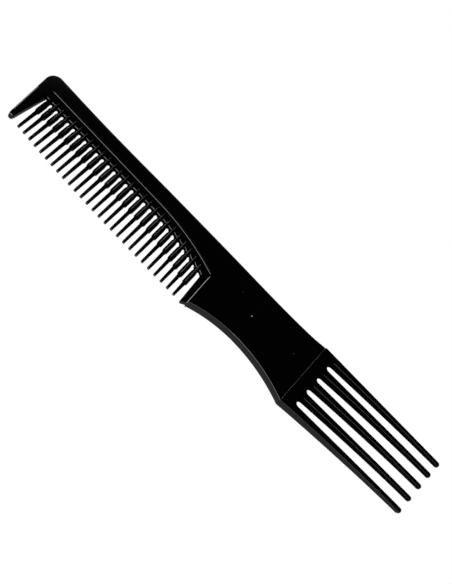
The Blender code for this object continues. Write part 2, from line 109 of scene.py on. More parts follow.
class CombTeeth(bpy.types.PropertyGroup):
    first_slot: length("First slot", "Slot beside the guard tooth", 0.645)
    slot: length("Slot", "Slot between the first two teeth", 0.762)
    slot_growth: length("Slot growth", "How much wider each slot is than the last", 0.0107)
    last_slot: length("Last slot", "Least slot beside the heel tooth", 0.7)
    reach: length("Reach", "From the back edge to the longest tips", 28.4)
    front_rise: length("Front rise", "How much the tips rise towards the front end", 3.1)
    first_lean: angle("First lean", "Lean of the first tooth", -0.8)
    last_lean: angle("Last lean", "Lean of the last tooth", 4.0)
    width: length("Width", "Width of the ridged part", 2.2)
    neck_width: length("Neck width", "Width of the neck", 1.88)
    neck_length: length("Neck length", "Length of the neck", 1.8)
    neck_flare: length("Neck flare", "Length over which the neck widens", 0.5)
    root_web: length("Root web", "From the root line to the thin end of a slot", 0.35)
    root_flare: length("Root flare", "Fillet between the neck and the end of a slot", 0.5)
    shoulder_drop: length("Shoulder drop", "From the root to the shoulders, at the front end", 6.4)
    shoulder_slant: share("Shoulder slant", "How much the drop grows along the row", 0.011)
    shoulder_length: length("Shoulder length", "Length of the shoulders", 0.6)
    shaft_width: length("Shaft width", "Width of the shaft at the shoulders", 1.45)
    tip_width: length("Tip width", "Width near the tip", 1.12)
    tip_round: length("Tip round", "Length of the rounded tip", 0.45)
    rib_rise: length("Rib rise", "Height of a ridge above the band, and its slope's length", 0.2)
    rib_length: length("Rib length", "How far a ridge runs up the band", 2.3)
    shaft_thickness: length("Shaft thickness", "Thickness of the shaft at the shoulders", 1.9)
    tip_thickness: length("Tip thickness", "Thickness near the tip", 1.2)
    flank: share("Flank", "Thickness of a tooth's sides as a share of its ridge", 0.5)
    crest: length("Crest", "Half width of the rib's gently arched crest", 0.16)
    crest_rise: length("Crest rise", "Rise of the arched crest", 0.03)
    facet: length("Facet", "Width of the rib's sloping side", 0.115)
    facet_tilt: angle("Facet tilt", "Tilt of the rib's sloping side", 36.0)
    side_tilt: angle("Side tilt", "Tilt of the rib's lower side", 60.0)
    shaft_rib: share("Shaft rib", "How much of the rib is left on the shaft", 0.3)
    shoulder_tilt: angle("Shoulder tilt", "Tilt of the faces beside the rib", 16.0)
    guard_reach: length("Guard reach", "From the back edge to the tip of the guard tooth", 25.42)
    guard_tip_width: length("Guard tip width", "Width of the guard tooth at its tip", 2.3)
    guard_tip_thickness: length("Guard tip thickness", "Thickness of the guard tooth's tip", 2.9)
    guard_rounding: length("Guard rounding", "Rounding of the guard tooth's edges", 0.85)
    guard_tip_slope: length("Guard tip slope", "Length of the slope that thins the tip", 2.3)
    heel_width: length("Heel width", "Width of the heel tooth at its root", 3.15)
    heel_tip_width: length("Heel tip width", "Width of the heel tooth at its tip", 2.8)
    heel_chamfer: length("Heel chamfer", "Chamfer round the heel tooth", 0.35)


class CombHandle(bpy.types.PropertyGroup):
    handle_length: length("Handle length", "From the heel line to the fork", 48.0)
    grip_depth: length("Grip depth", "From the back edge to the top of the hollow", 23.0)
    grip_place: length("Grip place", "From the heel line to the top of the hollow", 23.35)
    grip_front_radius: length("Front radius", "Radius of the hollow towards the teeth", 56.0)
    grip_rear_radius: length("Rear radius", "Radius of the hollow towards the fork", 71.0)
    grip_rim: length("Grip rim", "Rounding along the handle's hollow edge", 0.5)
    end_step: length("End step", "Step from the handle down to the fork", 0.1)
    end_slope: length("End slope", "Length of that step", 0.35)
    end_notch: length("End notch", "Width of the fine notch along the root of the fork", 0.07)
    notch_slope: share("Notch slope", "Slope of that notch's far side", 0.78)
    shoulder_rise: length("Shoulder rise", "Rise of the back edge at the fork", 0.8)
    prong_count: IntProperty(name="Prongs", description="Number of prongs", default=5)
    fork_lean: share("Fork lean", "Slope of the root of the fork", 0.0686)
    tip_lean: share("Tip lean", "Slope of the line of prong tips", 0.057)
    bridge_length: length("Bridge length", "From the handle to the ends of the slots", 5.0)
    prong_length: length("Prong length", "From the ends of the slots to the tips", 53.75)
    prong_root_width: length("Prong root width", "Width of a prong at its root", 2.6)
    prong_tip_width: length("Prong tip width", "Width of a prong near its tip", 1.4)
    prong_pitch: length("Prong pitch", "Pitch of the prongs at their roots", 6.42)
    last_extra: length("Last prong", "How much wider the last prong is on its outer side", 0.5)
    first_root: length("First root", "From the back edge down to the first prong's root", 0.1)
    first_tip: length("First tip", "From the back edge up to the first prong's tip", 1.12)
    tip_span: length("Tip span", "From the first to the last tip", 24.65)
    prong_bend: share("Prong bend", "Power of the curve that draws the prongs together", 1.4)
    tip_thickness: length("Prong tip thickness", "Thickness of the tips", 2.3)
    prong_rounding: length("Prong rounding", "Rounding along the prongs", 0.6)
    slot_fillet: length("Slot fillet", "Fillet at the ends of the fork's slots", 1.4)
    tip_round: length("Prong tip round", "Length of a prong's rounded tip", 1.1)


class CombLook(bpy.types.PropertyGroup):
    colour: FloatVectorProperty(name="Colour", description="Colour of the plastic", subtype="COLOR",
                                size=3, default=(0.0007, 0.0007, 0.0008))
    roughness: share("Roughness", "Roughness of the polished plastic", 0.08)
    unevenness: share("Unevenness", "Strength of the plastic's faint unevenness", 0.25)
    floor: share("Floor", "How much light the floor gives back", 0.5)
    room: share("Room", "Glow of the dim room", 0.01)
    distance: FloatProperty(name="Distance", description="From the camera to the comb", default=0.9,
                            unit="LENGTH")
    roll: angle("Roll", "Turn of the camera about its line of sight", 47.377)


# Hollows of the back edge, as shares of the length and of its deepest hollow.
SPINE_BACK_SHARES = ((0.22, -0.8), (0.42, -0.95), (0.63, -0.5), (0.81, -0.38))
HANDLE_BACK_SHARES = ((0.42, -0.8), (0.65, -0.65), (0.8, -0.15), (0.9, 0.5))

# Places of the prong tips, as shares of the span of the tips.
PRONG_TIP_SHARES = (0.0, 0.229, 0.479, 0.743, 1.0)

# Fineness of the curves, in steps.
CORNER_STEPS = 18
BACK_STEPS = 8
GROOVE_STEPS = 24
GRIP_STEPS = 40
ROUND_STEPS = 4
CRISP_STEPS = 2
ARC_STEPS = 8
PRONG_STEPS = 16
MEET_ROUNDS = 12

# Shares in a tooth's section: faces beside the rib, the rib's foot, and the web at a slot's end.
BROW_SHARE = 0.9
RIB_FOOT_SHARE = 1.3
WEB_TOP, WEB_EDGE, WEB_RUN = 0.9, 0.5, 0.3

# A rib's end just under the band's face, and a tooth's reach into the roots' chamfer.
RIB_END_SHARE = 0.95
ROOT_LAP_SHARE = 0.9

# Room for finding the foot of the heel's wall, as a share of the foot.
FOOT_ROOM = 0.3

# Where the straight sides of the fork's slots start, in fillets, and how round the prong tips are.
SLOT_START = 1.6
TIP_BALL = 0.85

SHARP_ANGLE = math.radians(28.0)
FACE_WEIGHT = 90

# Camera: what it looks at in millimetres, the way back to it, and its lens for the photograph's height.
CAMERA_TARGET = (100.817, -11.662, 2.2)
CAMERA_BACK = (0.04464, -0.52198, 0.85179)
SENSOR_HEIGHT = 24.0
FOCAL_PIXELS = 2513.5
PHOTO_HEIGHT = 584

FLOOR_SIZE = 3.0
FLOOR_DROP = 0.1 * MM

# Soft lights: azimuth, elevation, half width and half height in degrees, and radiance.
LIGHT_DISTANCE = 0.7
LIGHTS = {
    "teeth_side_light": (25.0, 31.0, 25.0, 12.0, 6.5),
    "fork_side_light": (-17.5, 31.0, 17.5, 12.0, 3.0),
    "front_end_light": (122.0, 11.5, 12.0, 8.0, 6.5),
    "back_edge_light": (158.0, 48.0, 12.0, 6.0, 0.15),
}

# Plastic: scale, detail and stretch of each noise, what the scratches do, and the gloss.
UNEVEN_NOISE = (90.0, 4.0, (1.0, 1.0, 1.0))
FLOW_NOISE = (160.0, 2.0, (0.25, 1.0, 1.0))
SCRATCH_NOISE = (420.0, 1.0, (0.04, 1.0, 1.0))
SCRATCH_LIMIT = 0.71
SCRATCH_ROUGHNESS = 0.05
SCRATCH_DEPTH = 0.4
LEAST_ROUGHNESS = 0.03
ROUGHNESS_SPREAD = 0.5
REFRACTION = 1.5
MARK_HEIGHT = 0.01 * MM

# Specks on the handle's face: place in millimetres, radius and shade.
SPECKS = (((5.0, 5.6, 4.4), 0.2, 0.06), ((13.5, 1.0, 4.4), 0.24, 0.7),
          ((33.4, 2.6, 4.4), 0.2, 0.08))


def spread(start, end, steps):
    """Evenly spread values, both ends included."""
    return [start + (end - start) * step / steps for step in range(steps + 1)]


def curve_through(points, steps):
    """Smooth curve through points, with the same number of steps in each span."""
    ends = [points[0]] + list(points) + [points[-1]]
    result = []
    for k in range(1, len(ends) - 2):
        before, start, end, after = (Vector(point) for point in ends[k - 1:k + 3])
        for t in spread(0.0, 1.0, steps)[:-1]:
            bend = 2 * start + (end - before) * t
            bend = bend + (2 * before - 5 * start + 4 * end - after) * t ** 2
            bend = bend + (3 * start - before - 3 * end + after) * t ** 3
            result.append(tuple(bend / 2))
    result.append(tuple(points[-1]))
    return result


def arc_drop(run, radius):
    """How far a circle has fallen from its crest after a run along the tangent."""
    return radius - math.sqrt(radius ** 2 - run ** 2)


def fillet(before, corner, after, radius, steps):
    """Arc that rounds the corner of an outline."""
    back = (Vector(before) - Vector(corner)).normalized()
    ahead = (Vector(after) - Vector(corner)).normalized()
    half = back.angle(ahead) / 2
    start = Vector(corner) + back * radius / math.tan(half)
    end = Vector(corner) + ahead * radius / math.tan(half)
    centre = Vector(corner) + (back + ahead).normalized() * radius / math.sin(half)
    points = []
    for t in spread(0.0, 1.0, steps):
        spoke = (start - centre).lerp(end - centre, t).normalized()
        points.append(tuple(centre + spoke * radius))
    points[0], points[-1] = tuple(start), tuple(end)
    return points


class Plan:
    """Outline of the comb, worked out from the settings."""

    def __init__(self, scene):
        self.head, self.teeth, self.grip = scene.comb_head, scene.comb_teeth, scene.comb_handle

    def front_end_x(self, y):
        """Front end, which leans in towards the tip of the guard tooth."""
        return self.head.front_lean * max(0.0, -y - self.head.corner)

    def heel_x(self, y):
        """Plane where the handle starts."""
        return self.head.head_length - self.head.heel_lean * y

    def groove_y(self, x):
        """Step between the spine and the band: straight, then falling along an arc."""
        head = self.head
        bend = max(0.0, x - (head.head_length - head.bend_length))
        return -(head.groove_depth + head.groove_slope * x + arc_drop(bend, head.bend_radius))

    def root_y(self, x):
        """Line of the tooth roots."""
        return self.groove_y(x) - self.head.root_band

    def guard_join_y(self):
        """Plane where the guard tooth meets the spine."""
        return self.root_y(self.head.guard_width)

    def heel_join_y(self):
        """Plane where the heel tooth meets the band."""
        return self.root_y(self.heel_x(self.root_y(self.head.head_length)) - self.teeth.heel_width)

    def heel_tooth_x(self):
        """Side of the heel tooth at its root, towards the other teeth."""
        return self.heel_x(self.heel_join_y()) - self.teeth.heel_width

    def tooth_places(self):
        """Middles of the tooth roots."""
        teeth = self.teeth
        places = []
        x = self.head.guard_width + teeth.first_slot + teeth.width / 2
        slot = teeth.slot
        while x + teeth.width / 2 + teeth.last_slot < self.heel_tooth_x():
            places.append(x)
            x += teeth.width + slot
            slot += teeth.slot_growth
        return places

    def tooth_tip_y(self, x):
        """Line of the tooth tips, which rises towards the front end."""
        left = max(0.0, 1 - x / self.head.head_length)
        return -self.teeth.reach + self.teeth.front_rise * left ** 3

    def handle_end_x(self, y):
        """Plane where the fork starts."""
        return self.head.head_length + self.grip.handle_length - self.grip.fork_lean * y

    def fork_x(self, done, y):
        """Place along the prongs, from the slot ends at 0 to the tips at 1."""
        grip = self.grip
        lean = grip.fork_lean + (grip.tip_lean - grip.fork_lean) * done
        start = self.head.head_length + grip.handle_length + grip.bridge_length
        return start + done * grip.prong_length - lean * y

    def grip_y(self, x):
        """Lower edge of the handle: two arcs that meet at the top of its hollow."""
        grip = self.grip
        run = x - (self.head.head_length + grip.grip_place)
        radius = grip.grip_front_radius if run < 0.0 else grip.grip_rear_radius
        return -grip.grip_depth - arc_drop(run, radius)

    def meet(self, plane_x, edge_y):
        """Point where a leaning plane x(y) crosses an edge y(x)."""
        y = edge_y(plane_x(0.0))
        for _ in range(MEET_ROUNDS):
            y = edge_y(plane_x(y))
        return plane_x(y), y

    def spine_back(self):
        """Rounded front corner and the back edge of the spine, up to the handle."""
        radius, hollow, rise = self.head.corner, self.head.back_hollow, self.head.front_rise
        corner = [(radius * (1 - math.cos(turn)), radius * (math.sin(turn) - 1) + rise)
                  for turn in spread(0.0, math.pi / 2, CORNER_STEPS)]
        start_x, start_y = corner[-1]
        end_y = hollow * SPINE_BACK_SHARES[-1][1]
        end = (self.heel_x(end_y), end_y)
        middle = [(start_x + (end[0] - start_x) * along, hollow * up) for along, up in SPINE_BACK_SHARES]
        return corner[:-1] + curve_through([(start_x, start_y)] + middle + [end], BACK_STEPS)

    def handle_back(self):
        """Back edge of the handle, from the spine to the shoulder of the fork."""
        rise = self.grip.shoulder_rise
        start, end = self.spine_back()[-1], (self.handle_end_x(rise), rise)
        middle = [(start[0] + (end[0] - start[0]) * along, self.head.back_hollow * up)
                  for along, up in HANDLE_BACK_SHARES]
        return curve_through([start] + middle + [end], BACK_STEPS)

    def grip_edge(self):
        """Lower edge of the handle, from the fork back to the heel."""
        start_x, _ = self.meet(self.handle_end_x, self.grip_y)
        end_x, _ = self.meet(self.heel_x, self.grip_y)
        return [(x, self.grip_y(x)) for x in spread(start_x, end_x, GRIP_STEPS)]

    def recess_edge(self):
        """Wall of the recess, from the heel tooth up to the groove and along it to the guard tooth."""
        head = self.head
        low = self.heel_join_y()
        bend_x = head.head_length - head.bend_length
        corner_x, corner_y = self.meet(lambda y: self.heel_x(y) - head.lip, self.groove_y)
        before = (self.heel_x(low) - head.lip, low)
        after = (corner_x - head.lip, self.groove_y(corner_x - head.lip))
        turn = fillet(before, (corner_x, corner_y), after, head.groove_corner, ARC_STEPS)
        xs = spread(turn[-1][0], bend_x, GROOVE_STEPS)[1:]
        line = [before] + turn + [(x, self.groove_y(x)) for x in xs]
        inner_x = head.guard_width - head.groove_slant
        inner = (inner_x, self.groove_y(inner_x))
        end = (head.guard_width, self.guard_join_y())
        return line + fillet(line[-1], inner, end, head.foot, ARC_STEPS) + [end]

    def root_edge(self):
        """Lower edge of the band, from the heel tooth to the guard tooth."""
        half = self.teeth.neck_width / 2
        points = [(self.heel_tooth_x(), self.heel_join_y())]
        for x in reversed(self.tooth_places()):
            points += [(x + half, self.root_y(x)), (x - half, self.root_y(x))]
        return points + [(self.head.guard_width, self.guard_join_y())]

    def prong_middle(self, index, done):
        """Middle line of a prong."""
        grip = self.grip
        root = -grip.first_root - index * grip.prong_pitch
        tip = grip.first_tip - grip.tip_span * PRONG_TIP_SHARES[index]
        return root + (tip - root) * (1 - (1 - done) ** grip.prong_bend)

    def prong_side(self, index, done, side, size=1.0):
        """Point on one side of a prong: 1 towards the back edge, -1 away from it."""
        grip = self.grip
        width = grip.prong_tip_width + (grip.prong_root_width - grip.prong_tip_width) * (1 - done) ** 2
        y = self.prong_middle(index, done) + side * width * size / 2
        if side < 0 and index == grip.prong_count - 1:
            y -= grip.last_extra * (1 - done / 2) * size
        return self.fork_x(done, y), y

    def prong_done(self, point):
        """How far along the prongs a point lies, from 0 to 1."""
        start, end = self.fork_x(0.0, point.y), self.fork_x(1.0, point.y)
        return min(1.0, max(0.0, (point.x - start) / (end - start)))

    def tip_start(self):
        """How far along the prongs their rounded tips start."""
        return 1 - self.grip.tip_round / self.grip.prong_length


def facing_along(lean):
    """Direction along the comb that a leaning plane faces."""
    return Vector((1.0, lean, 0.0)).normalized()


def corners(bm, points, z):
    """New vertices at one height."""
    return [bm.verts.new((x, y, z)) for x, y in points]


def raise_faces(bm, faces, rise):
    """Extrude flat faces upwards, which leaves their walls standing."""
    made = bmesh.ops.extrude_face_region(bm, geom=faces)["geom"]
    verts = [item for item in made if isinstance(item, bmesh.types.BMVert)]
    bmesh.ops.translate(bm, verts=verts, vec=(0.0, 0.0, rise))
    bmesh.ops.delete(bm, geom=[face for face in faces if face.is_valid], context="FACES_ONLY")


def drop_walls(bm):
    """Extrude the open lower border down to the middle of the thickness."""
    border = [edge for edge in bm.edges if edge.is_boundary]
    made = bmesh.ops.extrude_edge_only(bm, edges=border)["geom"]
    for item in made:
        if isinstance(item, bmesh.types.BMVert):
            item.co.z = 0.0


def slab(outline, top):
    """Upper half of a piece with upright walls, open at the middle of the thickness."""
    bm = bmesh.new()
    bm.faces.new(corners(bm, outline, top))
    drop_walls(bm)
    return bm


def run_edges(bm, run, low, high):
    """Level edges over a run of an outline, between two heights."""
    middles = [((Vector(a) + Vector(b)) / 2).freeze() for a, b in zip(run, run[1:])]
    chosen = []
    for edge in bm.edges:
        start, end = (vert.co for vert in edge.verts)
        centre = (start + end) / 2
        if (start - end).xy.length < WELD or not low - WELD < centre.z < high + WELD:
            continue
        if any((centre.xy - middle).length < NEAR for middle in middles):
            chosen.append(edge)
    return chosen


def bevel(bm, run, low, high, size, segments):
    """Bevel the level edges over a run of an outline."""
    edges = run_edges(bm, run, low, high)
    if not edges:
        raise RuntimeError("no edges to bevel")
    bm.normal_update()
    bmesh.ops.bevel(bm, geom=edges, offset=size, offset_type="OFFSET", segments=segments, profile=0.5,
                    affect="EDGES", material=-1, clamp_overlap=True)


def cut_plane(bm, place, facing, **clear):
    """Cut a mesh along a plane; one side can be cleared."""
    geom = bm.verts[:] + bm.edges[:] + bm.faces[:]
    return bmesh.ops.bisect_plane(bm, geom=geom, plane_co=place, plane_no=facing, **clear)


def sloped_foot(bm, plan, wall):
    """Slope at the foot of a wall, with its own shape along the heel."""
    band, foot = plan.head.band / 2, plan.head.foot
    bevel(bm, wall, band, band, foot, 1)
    for vert in bm.verts:
        across = plan.heel_x(vert.co.y) - plan.head.lip - vert.co.x
        if abs(across) < foot * FOOT_ROOM and abs(vert.co.z - band - foot) < NEAR:
            vert.co.z = band + plan.head.heel_foot
        elif abs(across - foot) < foot * FOOT_ROOM and abs(vert.co.z - band) < NEAR:
            vert.co.x -= foot


def gentle_rim(bm, run, head):
    """Gentle slope along a run of the outline, then a rounding."""
    top = head.thickness / 2
    bevel(bm, run, top, top, head.rim_width, 1)
    for vert in bm.verts:
        if abs(vert.co.z - (top - head.rim_width)) < NEAR:
            vert.co.z = top - head.rim_drop
    bevel(bm, run, top - head.rim_drop, top, head.rim_radius, ROUND_STEPS)


def both_faces(bm):
    """Mirror the upper half about the middle of the thickness."""
    geom = bm.verts[:] + bm.edges[:] + bm.faces[:]
    bmesh.ops.mirror(bm, geom=geom, matrix=Matrix.Identity(4), merge_dist=WELD, axis="Z")
    bmesh.ops.remove_doubles(bm, verts=bm.verts, dist=WELD)
    bmesh.ops.recalc_face_normals(bm, faces=bm.faces)


def origin(plan):
    """Where the drawing's origin lies in the frame of the CAD model."""
    low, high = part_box("spine")
    return Vector((low.x, high.y - plan.head.front_rise, plan.head.thickness / 2))


def add_object(name, data):
    """New object in the scene."""
    made = bpy.data.objects.new(name, data)
    bpy.context.scene.collection.objects.link(made)
    return made


def add_piece(scene, nodes, build, *where):
    """Build a piece that stands for CAD nodes."""
    plan = Plan(scene)
    name, bm = "comb_" + nodes[0], build(plan, *where)
    bmesh.ops.recalc_face_normals(bm, faces=bm.faces)
    bmesh.ops.translate(bm, verts=bm.verts, vec=origin(plan))
    mesh = bpy.data.meshes.new(name)
    for face in bm.faces:
        face.smooth = True
    bm.to_mesh(mesh)
    bm.free()
    mesh.set_sharp_from_angle(angle=SHARP_ANGLE)
    mesh.materials.append(black_plastic())
    piece = add_object(name, mesh)
    weighted = piece.modifiers.new("even_shading", "WEIGHTED_NORMAL")
    weighted.keep_sharp = True
    weighted.weight = FACE_WEIGHT
    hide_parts(*nodes)
    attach(piece, "root")


def build_spine(plan):
    """Spine and band, recessed on both faces, with a chamfer along the tooth roots."""
    head = plan.head
    top, band = head.thickness / 2, head.band / 2
    join = plan.guard_join_y()
    rim = [(plan.front_end_x(join), join)] + plan.spine_back()
    low = plan.heel_join_y()
    recess, roots = plan.recess_edge(), plan.root_edge()
    bm = bmesh.new()
    wall = corners(bm, recess, band)
    back = corners(bm, rim + [(plan.heel_x(low), low)], band)
    edge = corners(bm, roots[:-1], band)
    thick = bm.faces.new(back + wall)
    bm.faces.new(list(reversed(wall)) + edge)
    raise_faces(bm, [thick], top - band)
    drop_walls(bm)
    gentle_rim(bm, rim, head)
    bevel(bm, recess, top, top, head.crisp, CRISP_STEPS)
    bevel(bm, roots, band, band, head.root_chamfer, 1)
    sloped_foot(bm, plan, recess)
    both_faces(bm)
    return bm


def build_guard_tooth(plan):
    """Stout tooth at the front end, thinned and rounded at its tip."""
    head, teeth = plan.head, plan.teeth
    top, join = head.thickness / 2, plan.guard_join_y()
    tip_y = -teeth.guard_reach
    tip_x = plan.front_end_x(tip_y)
    radius = teeth.guard_tip_width / 2
    front = [(plan.front_end_x(join), join), (plan.front_end_x(tip_y + radius), tip_y + radius)]
    tip = [(tip_x + radius - radius * math.cos(turn), tip_y + radius - radius * math.sin(turn))
           for turn in spread(0.0, math.pi, 2 * ARC_STEPS)[1:-1]]
    inner = [(tip_x + teeth.guard_tip_width, tip_y + radius), (head.guard_width, join)]
    outline = front + tip + inner
    bm = slab(outline, top)
    bevel(bm, outline, top, top, teeth.guard_rounding, ROUND_STEPS)
    crease = tip_y + teeth.guard_tip_slope
    cut_plane(bm, (0.0, crease, 0.0), (0.0, 1.0, 0.0))
    thin = 1 - teeth.guard_tip_thickness / head.thickness
    for vert in bm.verts:
        past = max(0.0, (crease - vert.co.y) / teeth.guard_tip_slope)
        vert.co.z *= 1 - thin * past
    both_faces(bm)
    return bm


def build_heel_tooth(plan):
    """Thin broad tooth beside the handle, with the handle's edge along it."""
    head, teeth = plan.head, plan.teeth
    top, band = head.thickness / 2, head.band / 2
    join = plan.heel_join_y()
    end_x, end_y = plan.meet(plan.heel_x, plan.grip_y)
    tip_x = plan.heel_x(-teeth.reach) - teeth.heel_tip_width
    chamfer = teeth.heel_chamfer
    corner = (tip_x + chamfer, -teeth.reach)
    across = head.lip / (end_x - corner[0])
    lip = [(plan.heel_x(join) - head.lip, join),
           (end_x - head.lip, end_y + (corner[1] - end_y) * across)]
    side = [lip[1], corner, (tip_x, -teeth.reach + chamfer), (plan.heel_tooth_x(), join)]
    bm = bmesh.new()
    wall = corners(bm, lip, band)
    heel = corners(bm, [(end_x, end_y), (plan.heel_x(join), join)], band)
    thick = bm.faces.new(wall + heel)
    bm.faces.new(list(reversed(wall)) + corners(bm, reversed(side[1:]), band))
    raise_faces(bm, [thick], top - band)
    drop_walls(bm)
    bevel(bm, lip, top, top, head.crisp, CRISP_STEPS)
    sloped_foot(bm, plan, lip)
    bevel(bm, side, band, band, chamfer, 1)
    both_faces(bm)
    return bm


def build_handle(plan):
    """Handle with its hollow lower edge and the small slope down to the fork."""
    head, grip = plan.head, plan.grip
    top = head.thickness / 2
    back, lower = plan.handle_back(), plan.grip_edge()
    bm = slab(back + lower, top)
    gentle_rim(bm, back, head)
    bevel(bm, lower, top, top, grip.grip_rim, ROUND_STEPS)
    end = Vector((plan.handle_end_x(0.0), 0.0, 0.0))
    facing = facing_along(grip.fork_lean)
    cut_plane(bm, end - facing * grip.end_slope, facing)
    for vert in bm.verts:
        if (vert.co - end).dot(facing) > -WELD:
            vert.co.z *= 1 - (grip.end_step + grip.end_notch * grip.notch_slope) / top
    both_faces(bm)
    return bm


def fork_outline(plan):
    """Outline of the fork, from its upper shoulder round all the prongs to its lower corner."""
    grip = plan.grip
    count = grip.prong_count
    top_y = plan.prong_middle(0, 0.0) + grip.prong_root_width / 2
    tip_start = plan.tip_start()
    points = [plan.handle_back()[-1], (plan.handle_end_x(top_y) + plan.head.rim_radius, top_y)]
    side_point = plan.prong_side
    slot_start = grip.slot_fillet * SLOT_START / grip.prong_length
    for index in range(count):
        sides = []
        for side, outermost in ((1, 0), (-1, count - 1)):
            start = 0.0 if index == outermost else slot_start
            sides.append([side_point(index, done, side) for done in spread(start, tip_start, PRONG_STEPS)])
        upper, lower = sides
        tip = [side_point(index, tip_start + (1 - tip_start) * math.sin(turn), 1, math.cos(turn))
               for turn in spread(0.0, math.pi, 2 * ARC_STEPS)[1:-1]]
        points += upper + tip + list(reversed(lower))
        if index < count - 1:
            slot = (lower[0], side_point(index, 0.0, -1), side_point(index + 1, 0.0, 1),
                    side_point(index + 1, slot_start, 1))
            points += fillet(*slot[:3], grip.slot_fillet, ARC_STEPS)
            points += fillet(*slot[1:], grip.slot_fillet, ARC_STEPS)
    points.append(plan.grip_edge()[0])
    return points


def build_fork(plan):
    """Whole fork, before it is divided into the bridge and the prongs."""
    grip = plan.grip
    top = plan.head.thickness / 2 - grip.end_step
    outline = fork_outline(plan)
    bm = slab(outline, top)
    bevel(bm, outline, top, top, grip.prong_rounding, ROUND_STEPS + 1)
    tip_start = plan.tip_start()
    cuts = spread(0.0, 1.0, PRONG_STEPS)[1:-1]
    cuts += [tip_start + (1 - tip_start) * math.sin(turn)
             for turn in spread(0.0, math.pi / 2, ARC_STEPS)[:-1]]
    for done in cuts:
        lean = grip.fork_lean + (grip.tip_lean - grip.fork_lean) * done
        cut_plane(bm, (plan.fork_x(done, 0.0), 0.0, 0.0), facing_along(lean))
    thinning = grip.tip_thickness / 2 / top - 1
    for vert in bm.verts:
        done = plan.prong_done(vert.co)
        ball = max(0.0, (done - tip_start) / (1 - tip_start))
        vert.co.z *= (1 + thinning * done) * math.sqrt(1 - TIP_BALL * ball ** 2)
    both_faces(bm)
    return bm


def nearest_prong(plan, point):
    """Which prong a point belongs to."""
    done = plan.prong_done(point)
    return min(range(plan.grip.prong_count),
               key=lambda index: abs(plan.prong_middle(index, done) - point.y))


def cut_fork(plan, keep_bridge):
    """Fork on one side of the plane where the prongs start."""
    bm = build_fork(plan)
    facing = facing_along(plan.grip.fork_lean)
    place = Vector((plan.fork_x(0.0, 0.0), 0.0, 0.0)) + facing * plan.head.crisp
    made = cut_plane(bm, place, facing, clear_outer=keep_bridge, clear_inner=not keep_bridge)
    edges = [item for item in made["geom_cut"] if isinstance(item, bmesh.types.BMEdge)]
    bmesh.ops.holes_fill(bm, edges=edges)
    return bm


def build_bridge(plan):
    """Bridge of the fork, with a fine notch along its root."""
    grip = plan.grip
    bm = cut_fork(plan, True)
    top = plan.head.thickness / 2 - grip.end_step
    end = Vector((plan.handle_end_x(0.0), 0.0, 0.0))
    facing = facing_along(grip.fork_lean)
    cut_plane(bm, end + facing * grip.end_notch, facing)
    for vert in bm.verts:
        if (vert.co - end).dot(facing) < NEAR:
            vert.co.z *= 1 - grip.end_notch * grip.notch_slope / top
    return bm


def build_prong(plan, index):
    """One prong."""
    bm = cut_fork(plan, False)
    others = [vert for vert in bm.verts if nearest_prong(plan, vert.co) != index]
    bmesh.ops.delete(bm, geom=others, context="VERTS")
    return bm


def tooth_ring(teeth, x, y, width, web, thickness, rib):
    """Section of a tooth: a narrow raised rib on each face, sloping shoulders and upright sides."""
    ridge = thickness / 2
    flank, half = ridge * teeth.flank, width / 2
    scale = width / teeth.width
    crest, edge = teeth.crest * scale, (teeth.crest + teeth.facet * rib) * scale
    foot = (teeth.crest + teeth.facet * rib * RIB_FOOT_SHARE) * scale
    arch = ridge - teeth.crest_rise * scale * rib
    brink = arch - teeth.facet * scale * rib * math.tan(teeth.facet_tilt)
    low = brink - (foot - edge) * math.tan(teeth.side_tilt)
    side, brow = half + web, half * BROW_SHARE
    left = [(-side, flank * WEB_EDGE), (-side + WEB_RUN * web, flank * WEB_TOP), (-half, flank),
            (-brow, low - (brow - foot) * math.tan(teeth.shoulder_tilt)),
            (-foot, low), (-edge, brink), (-crest, arch)]
    right = [(-across, up) for across, up in reversed(left)]
    right[3] = (brow, low)
    upper = left + [(0.0, ridge)] + right
    lower = [(across, -up) for across, up in reversed(upper)]
    return [(x + across, y, up) for across, up in upper + lower]


def loft(rings):
    """Closed skin through rings, each grown out of the one before."""
    bm = bmesh.new()
    end = bm.faces.new([bm.verts.new(point) for point in rings[0]])
    for ring in rings[1:]:
        end = bmesh.ops.extrude_discrete_faces(bm, faces=[end])["faces"][0]
        for vert, point in zip(end.verts, ring):
            vert.co = point
    bmesh.ops.holes_fill(bm, edges=[edge for edge in bm.edges if edge.is_boundary])
    return bm


